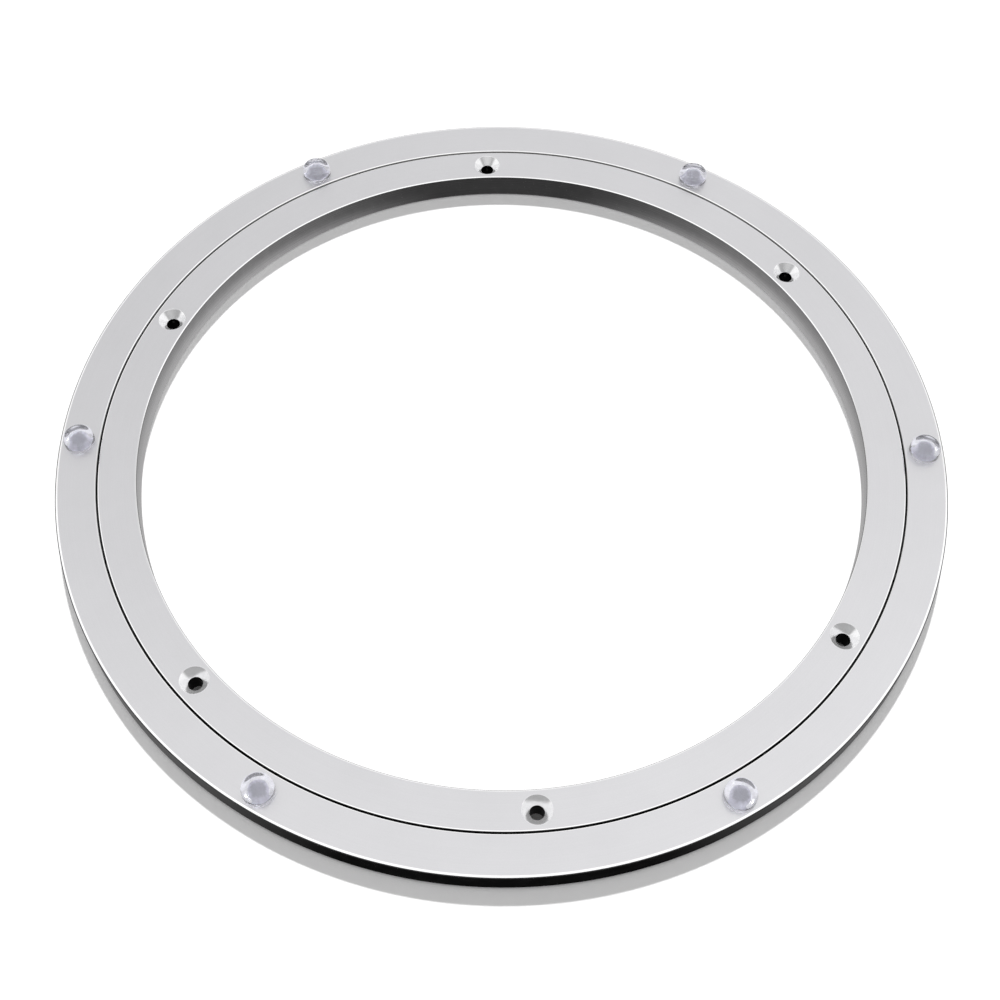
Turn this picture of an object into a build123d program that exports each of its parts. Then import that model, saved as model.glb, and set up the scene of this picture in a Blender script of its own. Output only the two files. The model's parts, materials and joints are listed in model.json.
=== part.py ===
"""Lazy susan bearing: two flush aluminium rings that turn on one caged row of steel balls.

Millimetres, +Z up. The origin lies on the turning axis, in the plane of the table under the
inner ring, and +X points at the first bumper.
"""
import os
from math import degrees

from build123d import *

# Rings: every diameter follows from the outer one and the two ring widths
outer_diameter = 300.0
outer_ring_width = 13.325
inner_ring_width = 12.825
ring_height = 9.5
table_clearance = 0.7
foot_chamfer = 0.4

# Bright edges of the top faces: how far each runs in, and how far it drops for its run
outer_edge_run = 0.9
bore_edge_run = 0.5
lip_edge_run = 0.3
edge_slope = 0.5

# Slot between the rings: narrow under the top faces, wide where the cage runs
lip_gap = 0.75
lip_height = 1.4
slot_width = 2.1

# Balls and their raceway, a flat-bottomed V whose flanks touch each ball at four points
ball_diameter = 5.0
ball_count = 18
ball_clearance = 0.1
groove_relief = 0.35

# Cage segments, open at the top so that they snap over the balls from below
cage_segment_count = 6
cage_thickness = 1.2
cage_base = 0.9
cage_lip_rise = 1.2
cage_end_gap = 1.6
pocket_clearance = 0.15

# Screw holes through the inner ring, at the angles where the real ring has them
screw_hole_angles = (37.0, 93.0, 156.0, 223.0, 275.0, 327.0)
screw_hole_diameter = 4.6
countersink_diameter = 9.4
countersink_angle = 82.0

# Loading port for the balls, on the +Y side of the outer ring, and the screw plug that closes it
port_clearance = 0.25
plug_clearance = 0.05
plug_recess = 0.4
plug_socket_width = 2.5
plug_socket_depth = 2.2

# Clear bumpers on the outer ring
bumper_count = 6
bumper_diameter = 10.3
bumper_height = 3.6
bumper_rim_height = 1.4
bumper_shoulder_diameter = 9.3
bumper_shoulder_height = 2.8
bumper_top_diameter = 6.0

# Derived radii and levels
outer_radius = outer_diameter / 2
lip_outer_radius = outer_radius - outer_ring_width
lip_inner_radius = lip_outer_radius - lip_gap
inner_radius = lip_inner_radius - inner_ring_width
race_radius = (lip_outer_radius + lip_inner_radius) / 2
slot_inner_radius = race_radius - slot_width / 2
slot_outer_radius = race_radius + slot_width / 2
lip_underside = ring_height - lip_height
race_height = ring_height / 2
ball_radius = ball_diameter / 2
groove_side = ball_diameter + 2 * ball_clearance
groove_depth = ball_radius + groove_relief
screw_circle_radius = (inner_radius + lip_inner_radius) / 2
bumper_circle_radius = (outer_radius + lip_outer_radius) / 2

# The hollow of the raceway: a square on its corner around the balls, cut flat inside and outside
with BuildPart() as raceway:
    with BuildSketch(Plane.XZ):
        with Locations((race_radius, race_height)):
            Rectangle(groove_side, groove_side, rotation=45)
            Rectangle(2 * groove_depth, 2 * groove_side, mode=Mode.INTERSECT)
    revolve(axis=Axis.Z)

# The base ring: screwed down through its countersunk holes, with half of the raceway outside
with BuildPart() as inner_ring:
    with BuildSketch(Plane.XZ) as inner_section:
        with BuildLine():
            Polyline(
                (inner_radius, 0),
                (slot_inner_radius, 0),
                (slot_inner_radius, lip_underside),
                (lip_inner_radius, lip_underside),
                (lip_inner_radius, ring_height),
                (inner_radius, ring_height),
                close=True,
            )
        make_face()
        chamfer(inner_section.vertices().group_by(Axis.Y)[0], foot_chamfer)
        top_edge = inner_section.edges().sort_by(Axis.Y)[-1]
        bore_corner = top_edge.vertices().sort_by(Axis.X)[0]
        chamfer(bore_corner, bore_edge_run, bore_edge_run * edge_slope, reference=top_edge)
        top_edge = inner_section.edges().sort_by(Axis.Y)[-1]
        lip_corner = top_edge.vertices().sort_by(Axis.X)[-1]
        chamfer(lip_corner, lip_edge_run, lip_edge_run * edge_slope, reference=top_edge)
    revolve(axis=Axis.Z)
    add(raceway.part, mode=Mode.SUBTRACT)
    with Locations((0, 0, ring_height)):
        for angle in screw_hole_angles:
            with PolarLocations(screw_circle_radius, 1, start_angle=angle):
                CounterSinkHole(
                    screw_hole_diameter / 2,
                    countersink_diameter / 2,
                    counter_sink_angle=countersink_angle,
                )

# The port is as wide as a ball, so that each ball drops through it into the raceway
port_plane = Plane(origin=(0, race_radius, race_height), z_dir=(0, 1, 0))
port_radius = ball_radius + port_clearance

# The turning ring: carries the bumpers, with the other half of the raceway inside
with BuildPart() as outer_ring:
    with BuildSketch(Plane.XZ) as outer_section:
        with BuildLine():
            Polyline(
                (outer_radius, table_clearance),
                (outer_radius, ring_height),
                (lip_outer_radius, ring_height),
                (lip_outer_radius, lip_underside),
                (slot_outer_radius, lip_underside),
                (slot_outer_radius, table_clearance),
                close=True,
            )
        make_face()
        chamfer(outer_section.vertices().group_by(Axis.Y)[0], foot_chamfer)
        top_edge = outer_section.edges().sort_by(Axis.Y)[-1]
        rim_corner = top_edge.vertices().sort_by(Axis.X)[-1]
        chamfer(rim_corner, outer_edge_run, outer_edge_run * edge_slope, reference=top_edge)
        top_edge = outer_section.edges().sort_by(Axis.Y)[-1]
        lip_corner = top_edge.vertices().sort_by(Axis.X)[0]
        chamfer(lip_corner, lip_edge_run, lip_edge_run * edge_slope, reference=top_edge)
    revolve(axis=Axis.Z)
    add(raceway.part, mode=Mode.SUBTRACT)
    with BuildSketch(port_plane):
        Circle(port_radius)
    extrude(amount=outer_radius - race_radius, mode=Mode.SUBTRACT)

# The plug fills the port; its inner end continues the raceway and its outer end has a hex socket
plug_inner_plane = port_plane.offset(slot_width / 2)
plug_length = outer_radius - slot_outer_radius - plug_recess
with BuildPart() as port_plug:
    with BuildSketch(plug_inner_plane):
        Circle(port_radius - plug_clearance)
    extrude(amount=plug_length)
    add(raceway.part, mode=Mode.SUBTRACT)
    with BuildSketch(plug_inner_plane.offset(plug_length)):
        RegularPolygon(plug_socket_width / 2, 6, major_radius=False)
    extrude(amount=-plug_socket_depth, mode=Mode.SUBTRACT)

# All the balls, evenly spaced in the raceway
ball_pitch = 360 / ball_count
with BuildPart() as bearing_balls:
    with Locations((0, 0, race_height)):
        with PolarLocations(race_radius, ball_count):
            Sphere(ball_radius)

# One cage segment: a curved strip whose round pockets close past the middle of each ball
segment_pitch = 360 / cage_segment_count
segment_ball_count = ball_count // cage_segment_count
pocket_radius = ball_radius + pocket_clearance
cage_bottom = race_height - pocket_radius - cage_base
cage_top = race_height + cage_lip_rise
end_gap_angle = degrees(cage_end_gap / race_radius)
with BuildPart() as cage_segment:
    with BuildSketch(Plane.XZ.rotated((0, 0, (end_gap_angle - ball_pitch) / 2))):
        with Locations((race_radius, (cage_bottom + cage_top) / 2)):
            Rectangle(cage_thickness, cage_top - cage_bottom)
    revolve(axis=Axis.Z, revolution_arc=segment_pitch - end_gap_angle)
    with Locations((0, 0, race_height)):
        with PolarLocations(race_radius, segment_ball_count, angular_range=segment_pitch):
            Cylinder(pocket_radius, slot_width, rotation=(0, 90, 0), mode=Mode.SUBTRACT)

# One bumper: a clear button with an upright rim, a steep flank, a sloping shoulder and a flat top
with BuildPart() as bumper:
    with BuildSketch(Plane.XZ):
        with BuildLine():
            Polyline(
                (0, 0),
                (bumper_diameter / 2, 0),
                (bumper_diameter / 2, bumper_rim_height),
                (bumper_shoulder_diameter / 2, bumper_shoulder_height),
                (bumper_top_diameter / 2, bumper_height),
                (0, bumper_height),
                close=True,
            )
        make_face()
    revolve(axis=Axis.Z)

# One file for each piece
os.makedirs("parts", exist_ok=True)

inner_ring.part.label = "inner_ring"
export_step(inner_ring.part, "parts/inner_ring.step")

outer_ring.part.label = "outer_ring"
export_step(outer_ring.part, "parts/outer_ring.step")

port_plug.part.label = "port_plug"
export_step(port_plug.part, "parts/port_plug.step")

bearing_balls.part.label = "bearing_balls"
export_step(bearing_balls.part, "parts/bearing_balls.step")

for index in range(cage_segment_count):
    segment = cage_segment.part.rotate(Axis.Z, index * segment_pitch)
    segment.label = f"cage_segment_{index + 1}"
    export_step(segment, f"parts/cage_segment_{index + 1}.step")

for index, spot in enumerate(PolarLocations(bumper_circle_radius, bumper_count)):
    button = bumper.part.moved(Location((0, 0, ring_height)) * spot)
    button.label = f"bumper_{index + 1}"
    export_step(button, f"parts/bumper_{index + 1}.step")
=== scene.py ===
"""Lazy susan bearing: the looks of its two rings, clear bumpers and caged ball race.

Metres, +Z up. The turning axis is the Z axis, and the inner ring's underside lies at height zero.
"""
import json
import logging
from dataclasses import dataclass, field
from enum import Enum
from math import atan2, cos, pi, radians, sin, tan

import bmesh
import bpy
import numpy as np
from mathutils import Matrix, Vector
from numpy.typing import NDArray


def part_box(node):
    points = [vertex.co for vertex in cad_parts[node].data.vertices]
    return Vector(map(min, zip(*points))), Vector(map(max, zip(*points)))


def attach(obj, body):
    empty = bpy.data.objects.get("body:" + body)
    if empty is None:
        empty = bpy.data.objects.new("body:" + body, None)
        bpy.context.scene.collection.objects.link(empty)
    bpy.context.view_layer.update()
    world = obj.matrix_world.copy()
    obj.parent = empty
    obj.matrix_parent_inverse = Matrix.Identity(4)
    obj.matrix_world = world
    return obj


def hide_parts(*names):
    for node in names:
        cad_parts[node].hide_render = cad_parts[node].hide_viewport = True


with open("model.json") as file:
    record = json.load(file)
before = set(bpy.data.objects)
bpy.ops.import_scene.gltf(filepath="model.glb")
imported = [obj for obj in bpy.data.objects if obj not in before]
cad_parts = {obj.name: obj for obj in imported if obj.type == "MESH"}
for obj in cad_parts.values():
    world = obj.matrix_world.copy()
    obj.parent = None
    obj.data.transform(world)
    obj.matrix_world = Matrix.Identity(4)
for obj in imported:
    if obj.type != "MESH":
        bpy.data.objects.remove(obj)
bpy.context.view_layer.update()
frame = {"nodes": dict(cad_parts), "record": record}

Floats = NDArray[np.float64]
Ints = NDArray[np.int64]
Bools = NDArray[np.bool_]
Socket = bpy.types.NodeSocket
Value = Socket | float
Inputs = dict[str | int, object]
Material = bpy.types.Material
Colour = tuple[float, float, float]
Span = tuple[float, float]
Rows = tuple[int, int]

LOG = logging.getLogger("bearing")
OFFSET_ATTRIBUTE = "own_offset"
WELD_DISTANCE = 1e-6
SHARP_ANGLE = radians(28.0)
FULL_TURN = 2 * pi
WHITE = (1.0, 1.0, 1.0, 1.0)
NOISE_MIDDLE: Span = (0.3, 0.7)
NOISE_ROUGHNESS = 0.55
LINE_ROUGHNESS = 0.6
PLAIN_DETAIL = 2.0
CLOUD_DETAIL = 3.0
BLOTCH_DETAIL = 4.0


class Zone(Enum):
    """The kinds of surface on a ring, in the order of its material slots."""

    TOP = 0
    CUT_EDGE = 1
    WALL = 2
    LIP = 3
    SLOT = 4
    SINK = 5
    HOLE = 6
    UNDERSIDE = 7
    # A near-black strip at the foot of a chamfer: painted shade along the edge.
    DARK_EDGE = 8


class RubberZone(Enum):
    """The kinds of surface on a bumper, in the order of its material slots."""

    CLEAR = 0
    FOOT = 1
    PATCH = 2


class Run(Enum):
    """The stretches of a ring's section where windows are cut, counted from its start or from its end."""

    WALL = 0
    TOP = 3
    SLOT_TOP = -8
    SLOT_FOOT = -4
    UNDERSIDE = -2


class Course(Enum):
    """What a mark follows: clouds in all directions, or lines along one length."""

    CLOUD = "all directions"
    ROUND = "the way out from the turning axis"
    UPRIGHT = "the way up"
    SINK = "the way down a hole's cone"


class NodeGraph:
    """The node tree of a material or of the world, with short ways to add nodes."""

    def __init__(self, owner: Material | bpy.types.World) -> None:
        """Starts an empty tree on a material or on the world."""
        owner.use_nodes = True
        self.tree = owner.node_tree
        self.tree.nodes.clear()

    def add(self, kind: str, inputs: Inputs, **settings: object) -> bpy.types.Node:
        """Adds one node.

        Args:
            kind: The node's type name.
            inputs: Socket names or numbers, each with a constant or with the socket to join to it.
            settings: The node's own properties.

        Returns:
            The new node.
        """
        node = self.tree.nodes.new(kind)
        for name, value in settings.items():
            setattr(node, name, value)
        for key, value in inputs.items():
            if isinstance(value, bpy.types.NodeSocket):
                self.tree.links.new(value, node.inputs[key])
            else:
                node.inputs[key].default_value = value
        return node

    def place(self) -> Socket:
        """Returns the Object coordinates, which are the part's own frame."""
        return self.add("ShaderNodeTexCoord", {}).outputs["Object"]

    def own_offset(self) -> Socket:
        """Returns the way from the middle of a hole or of a bumper, which the mesh carries."""
        return self.add("ShaderNodeAttribute", {}, attribute_name=OFFSET_ATTRIBUTE).outputs["Vector"]

    def axis(self, vector: Socket, name: str) -> Socket:
        """Returns the X, Y or Z of a vector."""
        return self.add("ShaderNodeSeparateXYZ", {0: vector}).outputs[name]

    def math(self, operation: str, first: Value, second: Value = 0.0) -> Socket:
        """Returns the result of one Math node."""
        return self.add("ShaderNodeMath", {0: first, 1: second}, operation=operation).outputs[0]

    def product(self, first: Value, *others: Value) -> Value:
        """Returns the product of several values.

        Args:
            first: The first value.
            others: The values that it is multiplied by, in order.

        Returns:
            The product, or the first value where it is the only one.
        """
        total = first
        for other in others:
            total = self.math("MULTIPLY", total, other)
        return total

    def reach(self, vector: Socket) -> Socket:
        """Returns the distance of a point from the Z axis through its own origin."""
        flat = self.add("ShaderNodeVectorMath", {0: vector, 1: (1.0, 1.0, 0.0)}, operation="MULTIPLY")
        return self.add("ShaderNodeVectorMath", {0: flat.outputs[0]}, operation="LENGTH").outputs["Value"]

    def noise(self, vector: Socket, size: float, detail: float) -> Socket:
        """Returns cloudy noise from 0 to 1 whose lumps are about as large as size, in metres."""
        inputs = {"Vector": vector, "Scale": 1.0 / size, "Detail": detail, "Roughness": NOISE_ROUGHNESS}
        return self.add("ShaderNodeTexNoise", inputs).outputs[0]

    def lines(self, along: Socket, pitch: float) -> Socket:
        """Returns noise from 0 to 1 along one length, as the fine lines that a turning tool leaves."""
        inputs = {"W": along, "Scale": 1.0 / pitch, "Detail": PLAIN_DETAIL, "Roughness": LINE_ROUGHNESS}
        return self.add("ShaderNodeTexNoise", inputs, noise_dimensions="1D").outputs[0]

    def ranged(self, value: Socket, span: Span, ends: Span, way: str) -> Socket:
        """Makes a value that goes from one end to the other while the input crosses a span.

        Args:
            value: The input.
            span: Where the change starts and stops.
            ends: The values before and after it.
            way: How the value changes between them.

        Returns:
            The value.
        """
        inputs = {
            "Value": value,
            "From Min": span[0],
            "From Max": span[1],
            "To Min": ends[0],
            "To Max": ends[1],
        }
        return self.add("ShaderNodeMapRange", inputs, interpolation_type=way).outputs[0]

    def spread(self, noise: Socket, ends: Span, centre: float = 0.0) -> Socket:
        """Returns the middle of a noise stretched evenly to two ends, which are counted from a centre."""
        return self.ranged(noise, NOISE_MIDDLE, (centre + ends[0], centre + ends[1]), "LINEAR")

    def eased(self, value: Socket, span: Span, ends: Span) -> Socket:
        """Returns a value that goes smoothly from one end to the other while the input crosses a span."""
        return self.ranged(value, span, ends, "SMOOTHSTEP")

    def shaded(self, colour: Colour, share: Socket) -> Socket:
        """Returns a colour made darker or lighter by a share near 1."""
        return self.add("ShaderNodeVectorMath", {0: colour, 1: share}, operation="MULTIPLY").outputs[0]

    def bump(self, height: Socket, depth: float) -> Socket:
        """Returns the normal of a surface raised by a height of up to depth, in metres."""
        return self.add("ShaderNodeBump", {"Height": height, "Distance": depth}).outputs[0]

    def seen(self, *rays: str) -> Value:
        """Finds out whether light is followed for one of several kinds of rays.

        Args:
            rays: The names of the kinds.

        Returns:
            1 for rays of these kinds, and 0 for all others.
        """
        path = self.add("ShaderNodeLightPath", {}).outputs
        total: Value = 0.0
        for ray in rays:
            total = self.math("MAXIMUM", path[ray], total)
        return total

    def blend(self, share: Socket, first: Value, second: Value) -> Socket:
        """Returns the first value, and the second one where the share is 1."""
        return self.add("ShaderNodeMix", {0: share, 2: first, 3: second}).outputs[0]

    def glow(self, strength: Value) -> Socket:
        """Returns the shader of a surface that gives white light."""
        return self.add("ShaderNodeEmission", {"Color": WHITE, "Strength": strength}).outputs[0]

    def mixed(self, share: Socket, first: Socket, second: Socket) -> Socket:
        """Returns the first shader, and the second one where the share is 1."""
        return self.add("ShaderNodeMixShader", {0: share, 1: first, 2: second}).outputs[0]

    def principled(self, inputs: Inputs) -> Socket:
        """Returns the output of a Principled shader with these sockets set."""
        return self.add("ShaderNodeBsdfPrincipled", inputs).outputs[0]


@dataclass(frozen=True)
class Finish:
    """A surface finish that makes its own material."""

    name: str

    def material(self) -> Material:
        """Makes the material of this finish.

        Returns:
            The new material.
        """
        made = bpy.data.materials.new(self.name)
        graph = NodeGraph(made)
        graph.add("ShaderNodeOutputMaterial", {"Surface": self.shade(graph)})
        return made

    def shade(self, graph: NodeGraph) -> Socket:
        """Returns the shader of this finish, made in the given node tree."""
        raise NotImplementedError


@dataclass(frozen=True)
class Mark:
    """One kind of mark in a finish.

    Attributes:
        course: What the mark follows.
        size: The size of its lumps, or the pitch of its lines.
        tones: The shares between which it changes the colour.
        dulling: What it adds to the roughness, from the least to the greatest.
        depth: The depth of its relief.
        detail: How fine the smallest parts of its clouds are.
    """

    course: Course
    size: float
    tones: Span | None = None
    dulling: Span | None = None
    depth: float = 0.0
    detail: float = PLAIN_DETAIL

    def noise(self, graph: NodeGraph) -> Socket:
        """Makes the noise that the mark is drawn with.

        Args:
            graph: The material's node tree.

        Returns:
            Noise from 0 to 1, as clouds or as lines along the mark's course.
        """
        if self.course is Course.CLOUD:
            return graph.noise(graph.place(), self.size, self.detail)
        if self.course is Course.ROUND:
            return graph.lines(graph.reach(graph.place()), self.size)
        if self.course is Course.UPRIGHT:
            return graph.lines(graph.axis(graph.place(), "Z"), self.size)
        offset = graph.own_offset()
        return graph.lines(graph.math("ADD", graph.reach(offset), graph.axis(offset, "Z")), self.size)


@dataclass(frozen=True)
class MarkedFinish(Finish):
    """A finish of one colour with marks in it.

    Attributes:
        colour: The colour.
        roughness: The roughness without marks.
        marks: The marks. One of them dulls, and one may be raised.
        metallic: 1 for metal.
        ior: The index of refraction, where it isn't the shader's own.
        clear: 1 for a clear body.
    """

    colour: Colour
    roughness: float
    marks: tuple[Mark, ...]
    metallic: float = 0.0
    ior: float | None = None
    clear: float = 0.0

    def shade(self, graph: NodeGraph) -> Socket:
        """Shows the marks in tone, gloss and relief. The colour is multiplied by the tones of all of them.

        Args:
            graph: The material's node tree.

        Returns:
            The shader.
        """
        inputs: Inputs = {"Metallic": self.metallic, "Transmission Weight": self.clear}
        if self.ior is not None:
            inputs["IOR"] = self.ior
        shares: list[Socket] = []
        for mark in self.marks:
            noise = mark.noise(graph)
            if mark.tones is not None:
                shares.append(graph.spread(noise, mark.tones))
            if mark.dulling is not None:
                inputs["Roughness"] = graph.spread(noise, mark.dulling, self.roughness)
            if mark.depth > 0.0:
                inputs["Normal"] = graph.bump(noise, mark.depth)
        inputs["Base Color"] = graph.shaded(self.colour, graph.product(*shares))
        return graph.principled(inputs)


@dataclass(frozen=True)
class SatinAluminium(MarkedFinish):
    """Bead-blasted and anodised aluminium: cloudy tones, faint turning lines and a fine even grain."""

    colour: Colour = (0.735, 0.732, 0.75)
    roughness: float = 0.34
    marks: tuple[Mark, ...] = (
        Mark(Course.CLOUD, 0.022, tones=(0.985, 1.015), detail=CLOUD_DETAIL),
        Mark(Course.ROUND, 0.0007, tones=(0.993, 1.007)),
        Mark(Course.CLOUD, 0.00016, tones=(0.975, 1.025), dulling=(-0.05, 0.05), depth=0.000004),
    )
    metallic: float = 1.0


@dataclass(frozen=True)
class CutEdge(MarkedFinish):
    """A bright edge, cut with a polished tool after anodising, with the tool's fine lines."""

    colour: Colour = (0.97, 0.97, 0.975)
    roughness: float = 0.12
    marks: tuple[Mark, ...] = (
        Mark(Course.ROUND, 0.00006, tones=(0.96, 1.0), dulling=(-0.03, 0.05), depth=0.0000012),
    )
    metallic: float = 1.0


@dataclass(frozen=True)
class TurnedWall(MarkedFinish):
    """An upright wall with turning lines and faint clouds: aluminium, or, if not metallic, a near-black film
    that paints shade.
    """

    colour: Colour = (0.8, 0.79, 0.8)
    roughness: float = 0.2
    marks: tuple[Mark, ...] = (
        Mark(Course.UPRIGHT, 0.0005, tones=(0.9, 1.1)),
        Mark(Course.CLOUD, 0.004, tones=(0.96, 1.04), dulling=(-0.03, 0.05)),
    )
    metallic: float = 1.0
    ior: float | None = 1.48


@dataclass(frozen=True)
class DullMetal(MarkedFinish):
    """Machined aluminium with turning lines and blotches of grease: the lip, the slot and the underside. Its
    own near-black colour paints shade into the slot.
    """

    # Near-black: painted shade in the slot and the port's bore. The lip and the underside give their own
    # colours.
    colour: Colour = (0.005, 0.005, 0.0053)
    roughness: float = 0.5
    marks: tuple[Mark, ...] = (
        Mark(Course.ROUND, 0.00035, tones=(0.9, 1.1), depth=0.000003),
        Mark(Course.CLOUD, 0.006, tones=(0.85, 1.15), dulling=(-0.1, 0.1), detail=BLOTCH_DETAIL),
    )


@dataclass(frozen=True)
class SinkMetal(MarkedFinish):
    """The bright machined cone of a screw hole, with the cutter's rings round the hole's own axis."""

    colour: Colour = (0.93, 0.93, 0.94)
    roughness: float = 0.12
    marks: tuple[Mark, ...] = (
        Mark(Course.SINK, 0.00012, tones=(0.86, 1.06), dulling=(-0.03, 0.05), depth=0.000003),
    )
    metallic: float = 0.67


@dataclass(frozen=True)
class ClearRubber(MarkedFinish):
    """Clear soft rubber with a cool tint, under a slightly wavy, slightly dull skin."""

    colour: Colour = (0.92, 0.92, 0.955)
    roughness: float = 0.03
    marks: tuple[Mark, ...] = (
        Mark(Course.CLOUD, 0.0012, depth=0.00001),
        Mark(Course.CLOUD, 0.002, tones=(0.94, 1.04), dulling=(-0.02, 0.03), detail=CLOUD_DETAIL),
    )
    ior: float | None = 1.45
    clear: float = 1.0


@dataclass(frozen=True)
class CagePlastic(MarkedFinish):
    """Black moulded nylon with flow clouds, a fine grain and an eggshell gloss."""

    colour: Colour = (0.018, 0.018, 0.019)
    roughness: float = 0.45
    marks: tuple[Mark, ...] = (
        Mark(Course.CLOUD, 0.005, tones=(0.75, 1.25), detail=CLOUD_DETAIL),
        Mark(Course.CLOUD, 0.0002, dulling=(-0.05, 0.05), depth=0.000005),
    )


@dataclass(frozen=True)
class GreasedSteel(MarkedFinish):
    """Hard steel with patches of a dull, dark film of grease."""

    colour: Colour = (0.1, 0.1, 0.1)
    roughness: float = 0.2
    marks: tuple[Mark, ...] = (
        Mark(Course.CLOUD, 0.0015, tones=(0.92, 1.05), dulling=(-0.05, 0.1), detail=CLOUD_DETAIL),
    )
    metallic: float = 1.0


@dataclass(frozen=True)
class ZincPlate(MarkedFinish):
    """Zinc-plated steel with small duller patches."""

    colour: Colour = (0.5, 0.5, 0.52)
    roughness: float = 0.3
    marks: tuple[Mark, ...] = (
        Mark(Course.CLOUD, 0.0008, tones=(0.92, 1.05), dulling=(-0.05, 0.1), detail=CLOUD_DETAIL),
    )
    metallic: float = 1.0


@dataclass(frozen=True)
class Adhesive(Finish):
    """The adhesive under a clear bumper: a cool grey patch, or a clear film that wets the metal.

    Attributes:
        colour: The colour in the middle.
        metallic: 1 where metal shows through.
        roughness: The roughness.
        fade: The distances from the bumper's middle between which it gets paler.
        pale: How much paler it is at its edge.
        waver: How far that edge strays.
        cloud_size: The size of the clouds in it.
        cloud_tones: The shares between which they change the colour.
    """

    colour: Colour = (0.34, 0.34, 0.385)
    metallic: float = 0.0
    roughness: float = 0.5
    fade: Span = (0.0018, 0.0033)
    pale: float = 1.7
    waver: Span = (-0.0003, 0.0003)
    cloud_size: float = 0.0009
    cloud_tones: Span = (0.94, 1.05)

    def shade(self, graph: NodeGraph) -> Socket:
        """Shows a tone with small clouds that gets paler towards the patch's uneven edge.

        Args:
            graph: The material's node tree.

        Returns:
            The shader.
        """
        cloud = graph.noise(graph.place(), self.cloud_size, CLOUD_DETAIL)
        uneven = graph.math("ADD", graph.reach(graph.own_offset()), graph.spread(cloud, self.waver))
        paler = graph.eased(uneven, self.fade, (1.0, self.pale))
        tone = graph.product(paler, graph.spread(cloud, self.cloud_tones))
        return graph.principled({
            "Base Color": graph.shaded(self.colour, tone),
            "Metallic": self.metallic,
            "Roughness": self.roughness,
        })


@dataclass(frozen=True)
class PaleFloor(Finish):
    """A plain white floor that takes the part's shadow, with a little light of its own beside the part.

    Gloss shows it as a table that is dark along its middle and paler to both sides.

    Attributes:
        covered: The radii between which the part covers the floor.
        colour: The floor's colour.
        glow: The share of its own light where the floor is seen.
        inside: As gloss shows the table inside the part, the distances from its middle line between which it
            changes, and its strengths in the middle and at the sides.
        outside: The same for the table outside the part.
        far: How far outside the part the table starts to get white and is white.
        near: How far inside the part the table's pale sides get paler towards it.
        near_ends: The shares of their strength where that starts and at the part.
    """

    covered: Span
    colour: Colour = (0.98, 0.98, 0.98)
    glow: float = 0.085
    inside: tuple[Span, Span] = ((0.02, 0.105), (0.045, 0.37))
    outside: tuple[Span, Span] = ((0.045, 0.155), (0.004, 0.2))
    far: Span = (0.012, 0.04)
    near: float = 0.005
    near_ends: Span = (0.6, 1.35)

    def shade(self, graph: NodeGraph) -> Socket:
        """Shows matt white with a share of plain white, or the table for gloss, where it isn't covered.

        Args:
            graph: The material's node tree.

        Returns:
            The shader.
        """
        place = graph.place()
        reach = graph.reach(place)
        inner, outer = self.covered
        off_middle = graph.math("ABSOLUTE", graph.math("SUBTRACT", reach, (inner + outer) / 2))
        bare = graph.math("GREATER_THAN", off_middle, (outer - inner) / 2)
        matt = graph.add("ShaderNodeBsdfDiffuse", {"Color": (*self.colour, 1.0)}).outputs[0]
        seen = graph.product(graph.seen("Is Camera Ray", "Is Transmission Ray"), bare, self.glow)
        lit = graph.mixed(seen, matt, graph.glow(1.0))
        gloss = graph.product(graph.seen("Is Glossy Ray"), bare)
        return graph.mixed(gloss, lit, graph.glow(self.table(graph, place, reach)))

    def table(self, graph: NodeGraph, place: Socket, reach: Socket) -> Socket:
        """Gives the table's strength as gloss shows it.

        Inside the part it rises to both sides, and more so near the part. Outside the part it rises to both
        sides, and is white further away.

        Args:
            graph: The material's node tree.
            place: The point on the floor.
            reach: Its distance from the turning axis.

        Returns:
            The strength.
        """
        inner, outer = self.covered
        aside = graph.math("ABSOLUTE", graph.axis(place, "X"))
        span, (dark, pale) = self.inside
        nearing = graph.eased(reach, (inner - self.near, inner), self.near_ends)
        sides = graph.product(graph.eased(aside, span, (0.0, pale - dark)), nearing)
        inside = graph.math("ADD", sides, dark)
        away = graph.eased(reach, (outer + self.far[0], outer + self.far[1]), (0.0, 1.0))
        outside = graph.math("MAXIMUM", graph.eased(aside, *self.outside), away)
        beyond = graph.math("GREATER_THAN", reach, (inner + outer) / 2)
        return graph.blend(beyond, inside, outside)


@dataclass(frozen=True)
class Stretch:
    """One straight stretch of a section: where it starts, what it is and how finely it is divided."""

    start: Span
    zone: Zone
    strips: int = 1


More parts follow.
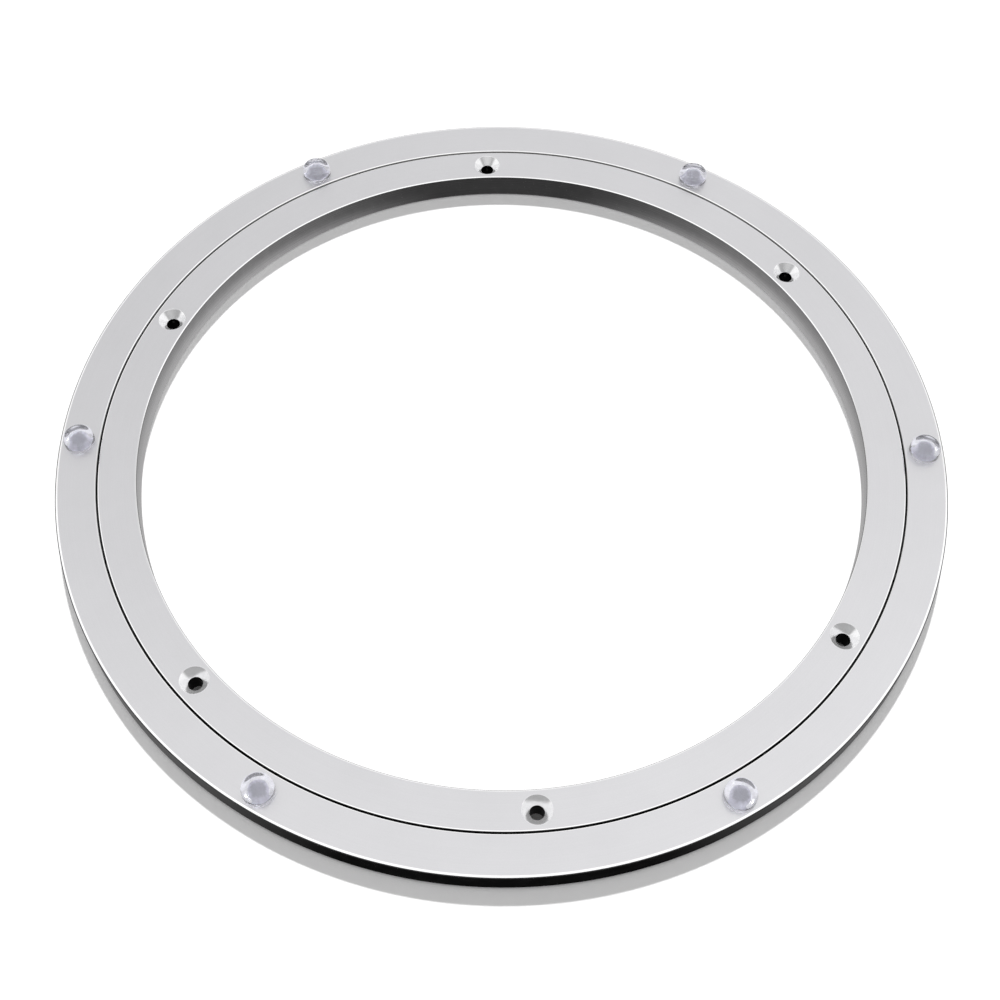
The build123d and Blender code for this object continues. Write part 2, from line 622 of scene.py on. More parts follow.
@dataclass
class Section:
    """A section made of straight stretches with slightly eased corners.

    Attributes:
        stretches: The stretches in order. An open section ends at the start of its last stretch.
        closed: Whether the last stretch runs back to the first.
        ease: How far from a corner its easing starts.
        ease_share: The largest share of a stretch that an easing takes.
        hold: How far from a corner the flat's own rows start, so that the easing stays narrow.
        hold_share: The largest share of a stretch that lies before its own rows.
        steps: The number of strips in an eased corner.
        points: Radius and height of each row.
        zones: The zone of the strip after each row.
        first_rows: The first row of each stretch.
        last_rows: The last row of each stretch.
    """

    stretches: list[Stretch]
    closed: bool = True
    ease: float = 0.00005
    ease_share: float = 0.15
    hold: float = 0.00012
    hold_share: float = 0.3
    steps: int = 3
    points: Floats = field(init=False)
    zones: Ints = field(init=False)
    first_rows: list[int] = field(init=False, default_factory=list)
    last_rows: list[int] = field(init=False, default_factory=list)

    def __post_init__(self) -> None:
        """Works out the rows of the section.

        Each corner is a quadratic curve from a point just before it to one just after it, with the corner
        as its control point, and each stretch between two corners is divided evenly.
        """
        corners = np.array([stretch.start for stretch in self.stretches])
        runs = np.roll(corners, -1, axis=0) - corners
        lengths = np.linalg.norm(runs, axis=1)
        ways = runs / lengths[:, None]
        holds = np.minimum(self.hold, self.hold_share * lengths)
        eases = np.minimum(self.ease, self.ease_share * lengths)
        blend = np.linspace(0.0, 1.0, self.steps + 1)[:, None]
        count = len(self.stretches) - (0 if self.closed else 1)
        half = self.steps // 2
        parts: list[Floats] = []
        zones: list[int] = []
        for index in range(count):
            stretch = self.stretches[index]
            before = index - 1
            if self.closed or index > 0:
                cut = min(eases[index], eases[before])
                corner = corners[index]
                entry = corner - cut * ways[before]
                leave = corner + cut * ways[index]
                parts.append((1 - blend) ** 2 * entry + 2 * blend * (1 - blend) * corner + blend ** 2 * leave)
                zones += [self.stretches[before].zone.value] * half
                zones += [stretch.zone.value] * (self.steps + 1 - half)
            start = holds[index] if self.closed or index > 0 else 0.0
            end = lengths[index] - (holds[index] if self.closed or index < count - 1 else 0.0)
            along = np.linspace(start, end, stretch.strips + 1)[:, None]
            parts.append(corners[index] + along * ways[index])
            self.first_rows.append(len(zones))
            zones += [stretch.zone.value] * (stretch.strips + 1)
            self.last_rows.append(len(zones) - 1)
        self.points = np.concatenate(parts)
        self.zones = np.array(zones)

    def rows(self, first: Run, last: Run) -> Rows:
        """Returns the row where one stretch starts, and the row where the same or a later one ends."""
        return self.first_rows[first.value], self.last_rows[last.value]


@dataclass
class Shell:
    """Grids of points gathered into one welded mesh."""

    points: list[Floats] = field(default_factory=list)
    offsets: list[Floats] = field(default_factory=list)
    quads: list[Ints] = field(default_factory=list)
    zones: list[Ints] = field(default_factory=list)
    count: int = 0

    def add(self, grid: Floats, zones: Ints, wrap: tuple[bool, bool], keep: Bools | None = None,
            centre: Floats | None = None) -> None:
        """Adds the quads between neighbouring points of a grid.

        Args:
            grid: Points as lines by rows by three.
            zones: The zone of the strip after each row, the same on every line.
            wrap: Whether the lines, and the rows, close on themselves.
            keep: Which quads are kept, as lines by rows, where some are left out.
            centre: The point that the mesh's own offset is measured from, for a hole or a bumper.
        """
        lines, rows = grid.shape[:2]
        number = self.count + np.arange(lines * rows).reshape(lines, rows)
        across, along = np.roll(number, -1, axis=0), np.roll(number, -1, axis=1)
        both = np.roll(across, -1, axis=1)
        quads = np.stack([number, across, both, along], axis=-1)
        used = np.ones((lines, rows), bool) if keep is None else keep.copy()
        used[-1, :] &= wrap[0]
        used[:, -1] &= wrap[1]
        strips = np.broadcast_to(np.resize(zones, rows)[None, :], (lines, rows))
        points = grid.reshape(-1, 3)
        self.points.append(points)
        self.offsets.append(np.zeros_like(points) if centre is None else points - centre)
        self.quads.append(quads[used])
        self.zones.append(strips[used])
        self.count += lines * rows

    def build(self, name: str, materials: list[Material]) -> bpy.types.Object:
        """Makes the object, with its doubles merged and its faces turned outwards.

        Args:
            name: The piece's name.
            materials: The materials, in the order of the zones.

        Returns:
            The new object, in the scene.
        """
        mesh = bpy.data.meshes.new(name)
        mesh.from_pydata(np.concatenate(self.points).tolist(), [], np.concatenate(self.quads).tolist())
        offset = mesh.attributes.new(OFFSET_ATTRIBUTE, "FLOAT_VECTOR", "POINT")
        offset.data.foreach_set("vector", np.concatenate(self.offsets).astype(np.float32).ravel())
        mesh.polygons.foreach_set("material_index", np.concatenate(self.zones).astype(np.int32))
        shape = bmesh.new()
        shape.from_mesh(mesh)
        bmesh.ops.remove_doubles(shape, verts=shape.verts, dist=WELD_DISTANCE)
        bmesh.ops.recalc_face_normals(shape, faces=shape.faces)
        shape.to_mesh(mesh)
        shape.free()
        mesh.shade_smooth()
        mesh.set_sharp_from_angle(angle=SHARP_ANGLE)
        for material in materials:
            mesh.materials.append(material)
        piece = bpy.data.objects.new(name, mesh)
        bpy.context.scene.collection.objects.link(piece)
        return piece


def node_reach(node: str) -> Floats:
    """Measures a CAD node's least and greatest distance from the turning axis.

    Args:
        node: The node's name.

    Returns:
        Both distances.
    """
    vertices = frame["nodes"][node].data.vertices
    flat = np.empty(len(vertices) * 3)
    vertices.foreach_get("co", flat)
    distance = np.hypot(*flat.reshape(-1, 3)[:, :2].T)
    return np.array([distance.min(), distance.max()])


def turn_of(spot: Vector) -> float:
    """Returns a point's angle round the turning axis, from 0 to a full turn."""
    return atan2(spot.y, spot.x) % FULL_TURN


def spread_angles(centres: list[float], half_width: float, window_steps: int,
                  step: float) -> tuple[Floats, list[int]]:
    """Divides a full turn so that each window has its own even steps.

    A window reaches half_width to both sides of its centre, and the spans between windows are divided
    evenly into steps no larger than step.

    Args:
        centres: The windows' middle angles in rising order, in radians.
        half_width: Half of a window's angle.
        window_steps: The number of steps in each window.
        step: The largest step between windows.

    Returns:
        The angles of one turn, and the index at which each window starts.
    """
    parts: list[Floats] = []
    starts: list[int] = []
    following = centres[1:] + [centres[0] + FULL_TURN]
    total = 0
    for centre, after in zip(centres, following):
        window = np.linspace(centre - half_width, centre + half_width, window_steps, endpoint=False)
        low, high = centre + half_width, after - half_width
        span = np.linspace(low, high, int(np.ceil((high - low) / step)), endpoint=False)
        parts += [window, span]
        starts.append(total)
        total += len(window) + len(span)
    return np.concatenate(parts), starts


def revolved(rows: Floats, angles: Floats) -> Floats:
    """Carries a section round the Z axis.

    Each row's radius and height are kept, and its angle is one of the given angles.

    Args:
        rows: Radius and height of each row.
        angles: The angles, in radians.

    Returns:
        Points as an array of angles by rows by three.
    """
    reach = rows[None, :, 0]
    height = np.broadcast_to(rows[None, :, 1], (len(angles), len(rows)))
    return np.stack([reach * np.cos(angles)[:, None], reach * np.sin(angles)[:, None], height], axis=-1)


def cut_window(grid: Floats, keep: Bools, lines: Rows, rows: Rows) -> Floats:
    """Cuts a window out of a grid.

    Args:
        grid: Points as lines by rows by three.
        keep: Which quads of the grid are kept. Those in the window are taken out here.
        lines: The lines between which the window lies.
        rows: The rows between which it lies, in the order in which they are gone round.

    Returns:
        The points round the window, from its first line and row, lines first.
    """
    keep[lines[0]:lines[1], min(rows):max(rows)] = False
    step = 1 if rows[1] > rows[0] else -1
    line_steps = np.arange(lines[0], lines[1])
    row_steps = np.arange(rows[0], rows[1], step)
    return np.concatenate([
        grid[line_steps, rows[0]],
        grid[lines[1], row_steps],
        grid[line_steps[::-1] + 1, rows[1]],
        grid[lines[0], (row_steps + step)[::-1]],
    ])


def between(first: Floats, last: Floats, steps: int) -> list[Floats]:
    """Returns the rows strictly between two loops, evenly spaced."""
    return [first + (last - first) * share for share in np.linspace(0.0, 1.0, steps + 1)[1:-1]]


def at_back(flat: Floats, reach: Floats | float) -> Floats:
    """Returns points of sideways place and height set on the back of round walls of the given radius."""
    return np.stack([flat[:, 0], np.sqrt(reach ** 2 - flat[:, 0] ** 2), flat[:, 1]], axis=-1)


def paired(reach: Floats | float, height: Floats | float) -> Floats:
    """Returns rows of radius and height, of which one may be the same for all."""
    return np.stack(np.broadcast_arrays(reach, height), axis=-1)


@dataclass(frozen=True)
class Race:
    """The slot between the rings and the raceway in it, as both rings need it.

    Attributes:
        radius: The radius of the ball centres.
        height: The height of the ball centres.
        slot_width: The width of the slot where the cage runs.
        lip_height: The height of the lips that narrow the slot at the top.
        groove_side: The side of the square, on its corner, that the raceway is cut with.
        groove_depth: How far the raceway's flat bottom lies from the ball centres.
        wall_strips: The number of strips on each stretch of the wall.
    """

    radius: float
    height: float
    slot_width: float = 0.0021
    lip_height: float = 0.0014
    groove_side: float = 0.0052
    groove_depth: float = 0.00285
    wall_strips: int = 2

    @property
    def corner_reach(self) -> float:
        """Half of the diagonal of the raceway's square."""
        return self.groove_side / np.sqrt(2.0)

    def wall(self, side: int) -> float:
        """Returns the radius of the slot's wall, of the outer one for 1 and of the inner one for -1."""
        return self.radius + side * self.slot_width / 2

    def stretches(self, side: int, top: float, foot: float) -> list[Stretch]:
        """Gives the slot's wall on one side from the lip down to the foot.

        Args:
            side: 1 for the outer wall and -1 for the inner one.
            top: The height of the ring's top face.
            foot: The height at which the wall ends.

        Returns:
            The stretches under the lip, down the wall and through the raceway.
        """
        wall = self.wall(side)
        bottom = self.radius + side * self.groove_depth
        mouth = self.corner_reach - self.slot_width / 2
        flat = self.corner_reach - self.groove_depth
        levels = [
            (wall, top - self.lip_height),
            (wall, self.height + mouth),
            (bottom, self.height + flat),
            (bottom, self.height - flat),
            (wall, self.height - mouth),
        ]
        strips = [Stretch(level, Zone.SLOT, self.wall_strips) for level in levels]
        return strips + [Stretch((wall, foot), Zone.SLOT)]

    def reach_at(self, height: Floats, side: int) -> Floats:
        """Returns the radius of the slot's wall, raceway included, at each height."""
        depth = np.minimum(self.groove_depth, self.corner_reach - np.abs(height - self.height))
        return self.radius + side * np.maximum(self.slot_width / 2, depth)


@dataclass
class Ring:
    """What both rings share: their CAD node, its measured sizes, their section and how it is divided.

    Attributes:
        node: The CAD node that the ring replaces.
        body: The body that it rides on.
        race: The slot and the raceway between the rings.
        side: The side of the slot that the ring is on, 1 outside and -1 inside.
        step: The largest angle between two lines of the mesh.
        edge_run: The width of the chamfer along the ring's wall.
        edge_dark: The width of the painted shade strip, a near-black film, on the lowest part of that
            chamfer.
        lip_run: The width of the chamfer along the slot.
        lip_lit: The height of the pale band below that chamfer, above the slot's painted shade.
        edge_slope: How far the chamfers fall, as a share of their width.
        foot_chamfer: The size of the chamfers along the underside.
        face_strips: The number of strips across the top face, and across the underside.
        window_angle: Half of the angle of a window in the ring.
        window_steps: The number of steps along a window.
        window_strips: The number of strips between a window and the hole in it.
        wall: The radius of the ring's wall, away from the slot.
        lip: The radius of its lip, at the slot.
        low: The height of its underside.
        high: The height of its top face.
    """

    node: str
    body: str
    race: Race
    side: int = 1
    step: float = radians(0.72)
    edge_run: float = 0.0009
    edge_dark: float = 0.0003
    lip_run: float = 0.0003
    lip_lit: float = 0.0
    edge_slope: float = 0.5
    foot_chamfer: float = 0.0004
    face_strips: int = 10
    window_angle: float = radians(1.5)
    window_steps: int = 16
    window_strips: int = 3
    wall: float = field(init=False)
    lip: float = field(init=False)
    low: float = field(init=False)
    high: float = field(init=False)

    def __post_init__(self) -> None:
        """Reads the ring's radii and heights from its CAD node."""
        self.lip, self.wall = node_reach(self.node)[::self.side]
        low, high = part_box(self.node)
        self.low, self.high = low.z, high.z

    def materials(self, wall: Finish, shared: dict[Zone, Material]) -> list[Material]:
        """Returns the ring's materials in the order of the zones, with its own wall."""
        own = {Zone.WALL: wall.material()}
        return [own.get(zone) or shared[zone] for zone in Zone]

    def section(self, wall_strips: int) -> Section:
        """Makes the ring's section, from its wall over the top face and down through the slot.

        Args:
            wall_strips: The number of strips on the wall.

        Returns:
            The closed section.
        """
        side, low, high = self.side, self.low, self.high
        foot = low + self.foot_chamfer
        bright = self.edge_run - self.edge_dark
        lip_top = high - self.lip_run * self.edge_slope
        lit = [Stretch((self.lip, lip_top), Zone.LIP)] if self.lip_lit else []
        slot_foot = self.race.wall(side) + side * self.foot_chamfer
        return Section([
            Stretch((self.wall, foot), Zone.WALL, wall_strips),
            # The lowest part of the chamfer is a strip of painted shade; the rest is the bright cut edge.
            Stretch((self.wall, high - self.edge_run * self.edge_slope), Zone.DARK_EDGE),
            Stretch((self.wall - side * self.edge_dark, high - bright * self.edge_slope), Zone.CUT_EDGE),
            Stretch((self.wall - side * self.edge_run, high), Zone.TOP, self.face_strips),
            Stretch((self.lip + side * self.lip_run, high), Zone.CUT_EDGE),
            *lit,
            Stretch((self.lip, lip_top - self.lip_lit), Zone.SLOT),
            Stretch((self.lip, high - self.race.lip_height), Zone.SLOT),
            *self.race.stretches(side, high, foot),
            Stretch((slot_foot, low), Zone.UNDERSIDE, self.face_strips),
            Stretch((self.wall - side * self.foot_chamfer, low), Zone.WALL),
        ])

    def settle(self, piece: bpy.types.Object) -> None:
        """Puts the piece in the CAD node's stead, on the same body.

        Args:
            piece: The ring's piece.
        """
        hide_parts(self.node)
        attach(piece, self.body)
        LOG.info("%s: %d faces", piece.name, len(piece.data.polygons))


@dataclass
class InnerRing(Ring):
    """The base ring, with its countersunk screw holes.

    Attributes:
        hole_radius: The radius of a screw hole.
        sink_radius: The radius of a countersink at the top face.
        sink_angle: The full angle of the countersink's cone.
        hole_margin: The width of the flat strip round a hole, at the top and at the underside.
        hole_ease: How far from a hole's corner its easing starts.
        hole_hold: How far from such a corner the flat's own rows start.
        sink_strips: The number of strips down the cone.
        hole_strips: The number of strips down the hole.
        wall_strips: The number of strips on the bore wall.
    """

    side: int = -1
    edge_run: float = 0.0005
    edge_dark: float = 0.00013
    face_strips: int = 14
    window_angle: float = radians(2.75)
    window_steps: int = 28
    hole_radius: float = 0.0023
    sink_radius: float = 0.0047
    sink_angle: float = radians(82.0)
    hole_margin: float = 0.00025
    hole_ease: float = 0.00008
    hole_hold: float = 0.0002
    sink_strips: int = 6
    hole_strips: int = 4
    wall_strips: int = 4

    def hole_centres(self) -> list[Vector]:
        """Returns the middle of each screw hole at the top face, in order round the ring."""
        mounts = [mount for mount in frame["record"]["mounts"] if mount["name"].startswith("screw_hole")]
        return sorted((Vector(mount["pos_m"]) for mount in mounts), key=turn_of)

    def hole_section(self) -> Section:
        """Makes a screw hole's section, from the top face down its cone and bore to the underside.

        Returns:
            The open section, as distances from the hole's own axis.
        """
        throat = self.high - (self.sink_radius - self.hole_radius) / tan(self.sink_angle / 2)
        return Section([
            Stretch((self.sink_radius + self.hole_margin, self.high), Zone.TOP),
            Stretch((self.sink_radius, self.high), Zone.SINK, self.sink_strips),
            Stretch((self.hole_radius, throat), Zone.HOLE, self.hole_strips),
            Stretch((self.hole_radius, self.low), Zone.UNDERSIDE),
            Stretch((self.hole_radius + self.hole_margin, self.low), Zone.UNDERSIDE),
        ], closed=False, ease=self.hole_ease, hold=self.hole_hold)

    def hole_grid(self, centre: Vector, top: Floats, bottom: Floats) -> tuple[Floats, Ints]:
        """Makes one screw hole between its window in the top face and its window in the underside.

        Each column keeps the direction from the hole's axis to its point of the top window; a row of the
        hole is that direction times the section's radius, at the section's height, and the rows between a
        window and the hole run straight.

        Args:
            centre: The middle of the hole at the top face.
            top: The points round the top window.
            bottom: The points round the window in the underside.

        Returns:
            The grid as columns by rows by three, and the zone of the strip after each row.
        """
        section = self.hole_section()
        turn = np.arctan2(top[:, 1] - centre.y, top[:, 0] - centre.x)
        hole = np.array([centre.x, centre.y, 0.0]) + revolved(section.points, turn)
        above = np.stack([top, *between(top, hole[:, 0], self.window_strips)], axis=1)
        below = np.stack([*between(hole[:, -1], bottom, self.window_strips), bottom], axis=1)
        zones = np.concatenate([
            np.full(above.shape[1], Zone.TOP.value),
            section.zones[:-1],
            np.full(below.shape[1] + 1, Zone.UNDERSIDE.value),
        ])
        return np.concatenate([above, hole, below], axis=1), zones

    def build(self, materials: list[Material]) -> None:
        """Builds the ring with its holes and puts it in place.

        Args:
            materials: The materials, in the order of the zones.
        """
        section = self.section(self.wall_strips)
        centres = self.hole_centres()
        turns = [turn_of(centre) for centre in centres]
        angles, starts = spread_angles(turns, self.window_angle, self.window_steps, self.step)
        grid = revolved(section.points, angles)
        keep = np.ones(grid.shape[:2], bool)
        top_rows = section.rows(Run.TOP, Run.TOP)
        foot_rows = section.rows(Run.UNDERSIDE, Run.UNDERSIDE)[::-1]
        shell = Shell()
        for centre, start in zip(centres, starts):
            lines = start, start + self.window_steps
            top = cut_window(grid, keep, lines, top_rows)
            bottom = cut_window(grid, keep, lines, foot_rows)
            hole, zones = self.hole_grid(centre, top, bottom)
            shell.add(hole, zones, (True, False), centre=np.array(centre))
        shell.add(grid, section.zones, (True, True), keep)
        self.settle(shell.build("base_ring", materials))


@dataclass
class OuterRing(Ring):
    """The turning ring, with the port in its wall through which the balls are loaded.

    Attributes:
        port_radius: The radius of the port.
        port_angle: Where the port stands round the axis: at the back.
        port_strips: The number of strips through the wall.
    """

    lip_lit: float = 0.001
    port_radius: float = 0.00275
    port_angle: float = radians(90.0)
    port_strips: int = 6

    def port_grid(self, outside: Floats, inside: Floats) -> tuple[Floats, Ints]:
        """Makes the loading port between its window in the outer wall and its window in the slot.

        Seen along the port, each column runs straight from the outer window to the port's circle, keeps
        its place there through the wall, and runs straight on to the window in the slot. Its depth is
        that of the outer wall, or of the slot's wall and raceway, at its sideways place and height.

        Args:
            outside: The points round the window in the outer wall.
            inside: The points round the window in the slot.

        Returns:
            The grid as columns by rows by three, and the zone of the strip after each row.
        """
        rise = self.race.height
        outer_frame, inner_frame = outside[:, ::2], inside[:, ::2]
        turn = np.arctan2(outside[:, 2] - rise, outside[:, 0])
        mouth = paired(self.port_radius * np.cos(turn), rise + self.port_radius * np.sin(turn))
        outer_flat = [outer_frame, *between(outer_frame, mouth, self.window_strips), mouth]
        inner_flat = [mouth, *between(mouth, inner_frame, self.window_strips)]
        outer_rows = [at_back(flat, self.wall) for flat in outer_flat]
        inner_rows = [at_back(flat, self.race.reach_at(flat[:, 1], self.side)) for flat in inner_flat]
        bore_rows = between(outer_rows[-1], inner_rows[0], self.port_strips)
        rows = [*outer_rows, *bore_rows, *inner_rows, inside]
        # The port's bore takes the slot's zone, whose near-black colour is painted shade.
        zones = np.full(len(rows), Zone.SLOT.value)
        zones[:len(outer_rows) - 1] = Zone.WALL.value
        return np.stack(rows, axis=1), zones

    def build(self, materials: list[Material]) -> None:
        """Builds the ring with its port and puts it in place.

        The wall has as many strips as the slot's rows that the port opens into, so that both windows match.

        Args:
            materials: The materials, in the order of the zones.
        """
        first, last = self.section(1).rows(Run.SLOT_TOP, Run.SLOT_FOOT)
        section = self.section(last - first)
        angles, starts = spread_angles([self.port_angle], self.window_angle, self.window_steps, self.step)
        grid = revolved(section.points, angles)
        keep = np.ones(grid.shape[:2], bool)
        lines = starts[0], starts[0] + self.window_steps
        outside = cut_window(grid, keep, lines, section.rows(Run.WALL, Run.WALL))
        inside = cut_window(grid, keep, lines, section.rows(Run.SLOT_TOP, Run.SLOT_FOOT)[::-1])
        shell = Shell()
        shell.add(*self.port_grid(outside, inside), (True, False))
        shell.add(grid, section.zones, (True, True), keep)
        self.settle(shell.build("turning_ring", materials))


@dataclass
class Bumpers:
    """The clear buttons on the outer ring, each on a round patch of adhesive.

    Attributes:
        body: The body that they ride on.
        lift: How far the clear foot stands off the ring.
        patch_radius: The radius of the adhesive patch in the middle of the foot.
        foot_ease: The size of the easing between the foot and the rim.
        rim_height: The height of the upright rim.
        top_radius: The radius of the flat top.
        fullness: How far the shoulder's curve leans out at the rim and at the top, as shares of its rise
            and run.
        foot_strips: The number of strips across the patch, and across the rest of the foot.
        rim_strips: The number of strips up the rim.
        shoulder_strips: The number of strips over the shoulder.
        top_strips: The number of strips across the top.
        turns: The number of steps round a button.
    """

    body: str
    lift: float = 0.00003
    patch_radius: float = 0.0031
    foot_ease: float = 0.0001
    rim_height: float = 0.0014
    top_radius: float = 0.003
    fullness: Span = (0.7, 0.75)
    foot_strips: int = 3
    rim_strips: int = 4
    shoulder_strips: int = 24
    top_strips: int = 7
    turns: int = 96

    def profile(self, radius: float, height: float) -> tuple[Floats, Ints]:
        """Makes the button's profile from the middle of its foot to the middle of its top.

        The rim rises straight, the shoulder is a cubic curve that leaves the rim upright and meets the flat
        top level, and the foot has the adhesive patch in its middle.

        Args:
            radius: The radius of the foot.
            height: The height of the top.

        Returns:
            Radius and height of each row, and the zone of the strip after each row.
        """
        blend = np.linspace(0.0, 1.0, self.shoulder_strips + 1)[:, None]
        rim = np.array([radius, self.rim_height])
        crown = np.array([self.top_radius, height])
        upper_rim = rim + np.array([0.0, self.fullness[0] * (height - self.rim_height)])
        outer_crown = crown + np.array([self.fullness[1] * (radius - self.top_radius), 0.0])
        shoulder = ((1 - blend) ** 3 * rim + 3 * blend * (1 - blend) ** 2 * upper_rim
                    + 3 * blend ** 2 * (1 - blend) * outer_crown + blend ** 3 * crown)
        patch = np.linspace(0.0, self.patch_radius, self.foot_strips + 1)
        rest = np.linspace(self.patch_radius, radius - self.foot_ease, self.foot_strips + 1)[1:]
        foot = paired(np.concatenate([patch, rest]), self.lift)
        rise = np.linspace(self.lift + self.foot_ease, self.rim_height, self.rim_strips + 1)[:-1]
        top = np.linspace(self.top_radius, 0.0, self.top_strips + 1)[1:]
        rows = np.concatenate([foot, paired(radius, rise), shoulder, paired(top, height)])
        zones = np.full(len(rows), RubberZone.CLEAR.value)
        zones[:len(foot) - 1] = RubberZone.FOOT.value
        zones[:len(patch) - 1] = RubberZone.PATCH.value
        return rows, zones

    def build(self, materials: dict[RubberZone, Material]) -> None:
        """Builds each button by carrying the profile round the middle of its CAD node.

        Args:
            materials: The material of each zone.
        """
        angles = np.linspace(0.0, FULL_TURN, self.turns, endpoint=False)
        nodes = sorted(name for name in frame["nodes"] if name.startswith("bumper"))
        for node in nodes:
            low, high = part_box(node)
            rows, zones = self.profile((high.x - low.x) / 2, high.z - low.z)
            centre = np.array([(low.x + high.x) / 2, (low.y + high.y) / 2, low.z])
            shell = Shell()
            shell.add(centre + revolved(rows, angles), zones, (True, False), centre=centre)
            piece = shell.build(f"{node}_button", [materials[zone] for zone in RubberZone])
            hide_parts(node)
            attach(piece, self.body)
            LOG.info("%s: %d faces", piece.name, len(piece.data.polygons))


@dataclass
class BallRace:
    """The balls, their cage and the port's plug, which keep their CAD shapes."""

    steel: Finish = GreasedSteel("ball_steel")
    plastic: Finish = CagePlastic("cage_nylon")
    zinc: Finish = ZincPlate("plug_zinc")

    def dress(self) -> None:
        """Gives each of these CAD nodes its material."""
        finishes = {
            "bearing_balls": self.steel.material(),
            "cage_segment": self.plastic.material(),
            "port_plug": self.zinc.material(),
        }
        for name, node in frame["nodes"].items():
            for start, material in finishes.items():
                if name.startswith(start):
                    node.material_slots[0].material = material
                    LOG.info("%s: dressed with %s", name, material.name)


@dataclass
class Studio:
    """The floor and the light.

    Attributes:
        covered: The radii between which the part covers the floor.
        ambient: The surround's strength for diffuse light.
        overhead: The surround's strength straight above, as gloss shows it.
        rightward: How much brighter the surround gets towards the right.
        sideways: How much darker it gets towards both sides.
        backward: How much brighter it gets towards the back.
        wings: How much brighter it gets at both sides, with the square of the way out and the way forward.
        wing_reach: How far back the wings start, and the least way forward that counts.
        limits: The least and the greatest strength that gloss shows, away from the screen.
        horizon: The heights between which the white of the horizon fades, as shares of the way up.
        screen_start: Where the dark screen at the front starts and is full, as shares of the way forward.
        screen_top: Where it is still full and where it ends, as shares of the way up.
        screen_level: The share of light that is left in front of it.
        key_strength: The strength of the sun behind the part.
        key_rise: The sun's height above the horizon.
        key_angle: The sun's apparent size, which softens its shadow.
        floor_size: The length of the floor's sides.
        floor_lines: The number of lines of points along each side.
        floor_drop: How far the floor lies under the part.
    """

    covered: Span
    ambient: float = 0.5
    overhead: float = 1.01
    rightward: float = 0.38
    sideways: float = 1.1
    backward: float = -0.19
    wings: float = 24.0
    wing_reach: Span = (0.5, -0.02)
    limits: Span = (0.7, 1.15)
    horizon: Span = (0.4, 0.65)
    screen_start: Span = (0.15, 0.5)
    screen_top: Span = (0.45, 0.72)
    screen_level: float = 0.28
    key_strength: float = 2.5
    key_rise: float = radians(60.0)
    key_angle: float = radians(3.0)
    floor_size: float = 6.0
    floor_lines: int = 3
    floor_drop: float = 0.00001

    def floor(self) -> None:
        """Makes the floor, a level sheet just under the part."""
        edge = np.linspace(-self.floor_size / 2, self.floor_size / 2, self.floor_lines)
        across, along = np.meshgrid(edge, edge, indexing="ij")
        grid = np.stack([across, along, np.full_like(across, -self.floor_drop)], axis=-1)
        shell = Shell()
        shell.add(grid, np.zeros(self.floor_lines, int), (False, False))
        shell.build("floor", [PaleFloor("floor_white", self.covered).material()])

    def surround(self, graph: NodeGraph) -> Socket:
        """Gives the strength of the surround as gloss shows it.

        It changes evenly with the direction's X and Y and falls with the square of X. The wings add to it
        with the square of X times the way forward. It stays within its limits, is white towards the horizon,
        and the screen takes its share from it low down at the front.

        Args:
            graph: The world's node tree.

        Returns:
            The strength in each direction.
        """
        way = graph.add("ShaderNodeTexCoord", {}).outputs["Generated"]
        right, back, up = (graph.axis(way, name) for name in "XYZ")
        lean = graph.math("SUBTRACT", self.rightward, graph.product(right, self.sideways))
        slope = graph.math("ADD", graph.product(right, lean), graph.product(back, self.backward))
        wing_start, wing_least = self.wing_reach
        forward = graph.math("MAXIMUM", graph.math("SUBTRACT", wing_start, back), wing_least)
        wings = graph.product(right, right, self.wings, forward)
        even = graph.math("ADD", slope, graph.math("ADD", wings, self.overhead))
        least, greatest = self.limits
        low_white = graph.eased(up, self.horizon, (1.0, least))
        bound = graph.math("MAXIMUM", graph.math("MINIMUM", even, greatest), low_white)
        front = graph.eased(graph.product(back, -1.0), self.screen_start, (0.0, 1.0))
        below = graph.eased(up, self.screen_top, (1.0, 0.0))
        taken = graph.product(front, below, 1.0 - self.screen_level)
        return graph.product(bound, graph.math("SUBTRACT", 1.0, taken))

    def world(self) -> None:
        """Makes a white surround that has an even strength for diffuse light and soft tones in gloss."""
        graph = NodeGraph(bpy.context.scene.world)
        gloss = graph.seen("Is Glossy Ray", "Is Transmission Ray")
        lit = graph.blend(gloss, self.ambient, self.surround(graph))
        strength = graph.math("MAXIMUM", lit, graph.seen("Is Camera Ray"))
        white = graph.add("ShaderNodeBackground", {"Color": WHITE, "Strength": strength})
        graph.add("ShaderNodeOutputWorld", {"Surface": white.outputs[0]})

    def key(self) -> None:
        """Makes the sun behind the part, kept out of the metal's reflections."""
        lamp = bpy.data.lights.new("key", "SUN")
        lamp.energy = self.key_strength
        lamp.angle = self.key_angle
        sun = bpy.data.objects.new("key", lamp)
        way = Vector((0.0, -cos(self.key_rise), -sin(self.key_rise)))
        sun.rotation_euler = way.to_track_quat("-Z", "Y").to_euler()
        sun.visible_glossy = False
        bpy.context.scene.collection.objects.link(sun)

    def build(self) -> None:
        """Builds the floor, the surround and the key light."""
        if bpy.context.scene.world is None:
            bpy.context.scene.world = bpy.data.worlds.new("studio")
        self.floor()
        self.world()
        self.key()
        bpy.context.scene.view_settings.view_transform = "Standard"
        LOG.info("studio: floor, surround and key light")


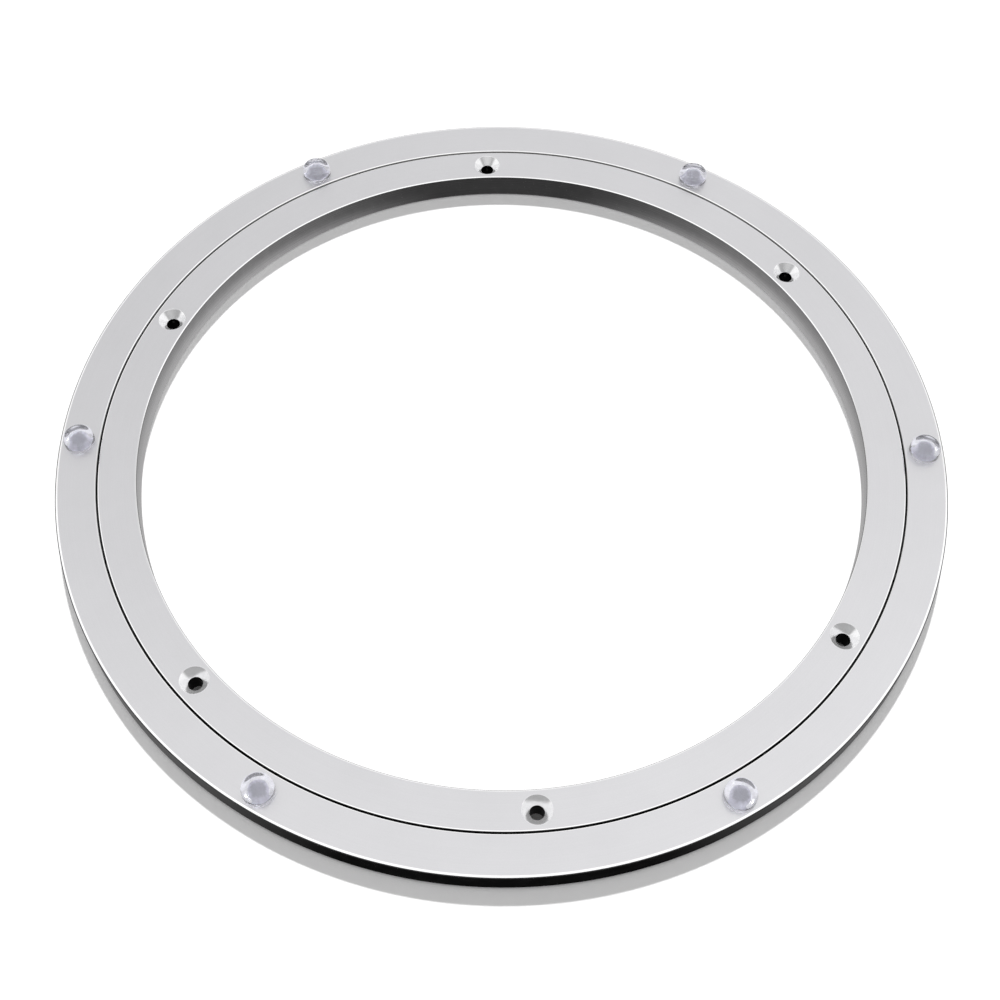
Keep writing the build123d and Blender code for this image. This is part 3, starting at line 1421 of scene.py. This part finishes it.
@dataclass
class Camera:
    """The camera at the photograph's place, given from the middle of the top face.

    Attributes:
        level: The height of the top face.
        distance: The distance from the middle of the top face.
        rise: The camera's height above the top face, as an angle.
        turn: How far the camera stands round the axis from the front.
        aim_forward: How far in front of the middle the camera aims.
        aim_left: How far to the left of the middle the camera aims.
        roll: How far the camera leans.
        lens: The focal length, in millimetres.
        frame_width: The width of the frame that it is for, in millimetres.
    """

    level: float
    distance: float = 0.52728
    rise: float = radians(56.263)
    turn: float = radians(-0.5)
    aim_forward: float = 0.02156
    aim_left: float = 0.00046
    roll: float = radians(1.02)
    lens: float = 55.89
    frame_width: float = 36.0

    def build(self) -> None:
        """Makes the camera, aims it and sets it as the scene's own."""
        data = bpy.data.cameras.new("view")
        data.lens = self.lens
        data.sensor_width = self.frame_width
        camera = bpy.data.objects.new("view", data)
        spin = Matrix.Rotation(self.turn, 3, "Z")
        stand = Vector((0.0, -self.distance * cos(self.rise), self.distance * sin(self.rise)))
        aim = Vector((-self.aim_left, -self.aim_forward, 0.0))
        look = (spin @ (aim - stand)).to_track_quat("-Z", "Y").to_matrix()
        centre = Vector((0.0, 0.0, self.level))
        pose = look @ Matrix.Rotation(self.roll, 3, "Z")
        camera.matrix_world = Matrix.Translation(centre + spin @ stand) @ pose.to_4x4()
        bpy.context.scene.collection.objects.link(camera)
        bpy.context.scene.camera = camera
        LOG.info("camera: %.0f mm lens", self.lens)


def race_of(inner: str, outer: str) -> Race:
    """Returns the race between two rings, in the middle of their gap and of the inner ring's height."""
    low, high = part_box(inner)
    return Race((node_reach(inner)[1] + node_reach(outer)[0]) / 2, (low.z + high.z) / 2)


def main() -> None:
    """Builds the bearing's pieces, its studio and its camera."""
    logging.basicConfig(level=logging.INFO, format="%(name)s: %(message)s")
    race = race_of("inner_ring", "outer_ring")
    # Painted shade: the screw holes' bores get a near-black film in place of their bare aluminium.
    hole_painted_shade = TurnedWall("hole_painted_shade", (0.0015, 0.0015, 0.0017), roughness=0.12, metallic=0.0, ior=1.2)
    underside = DullMetal("underside_metal", (0.55, 0.55, 0.56), roughness=0.4, metallic=1.0)
    shared = {
        Zone.TOP: SatinAluminium("satin_aluminium").material(),
        Zone.CUT_EDGE: CutEdge("cut_edge").material(),
        Zone.LIP: DullMetal("lip_metal", (0.8, 0.8, 0.8), roughness=0.4).material(),
        # Painted shade: the slot's near-black colour stands in for the shade in the gap.
        Zone.SLOT: DullMetal("slot_shade").material(),
        Zone.SINK: SinkMetal("sink_metal").material(),
        Zone.HOLE: hole_painted_shade.material(),
        Zone.UNDERSIDE: underside.material(),
        # Painted shade along the foot of the chamfers, as a near-black film.
        Zone.DARK_EDGE: TurnedWall("painted_shade_edge", (0.008, 0.0075, 0.009), metallic=0.0).material(),
    }
    inner = InnerRing("inner_ring", "base_ring", race)
    inner.build(inner.materials(TurnedWall("bore_wall"), shared))
    outer = OuterRing("outer_ring", "turning_ring", race)
    outer.build(outer.materials(TurnedWall("outer_wall"), shared))
    wetted = Adhesive("wetted_metal", (0.78, 0.78, 0.81), metallic=1.0, roughness=0.1, pale=1.0)
    Bumpers("turning_ring").build({
        RubberZone.CLEAR: ClearRubber("clear_rubber").material(),
        RubberZone.FOOT: wetted.material(),
        RubberZone.PATCH: Adhesive("adhesive_patch").material(),
    })
    BallRace().dress()
    Studio((inner.wall, outer.wall)).build()
    Camera(inner.high).build()


if __name__ == "__main__":
    main()
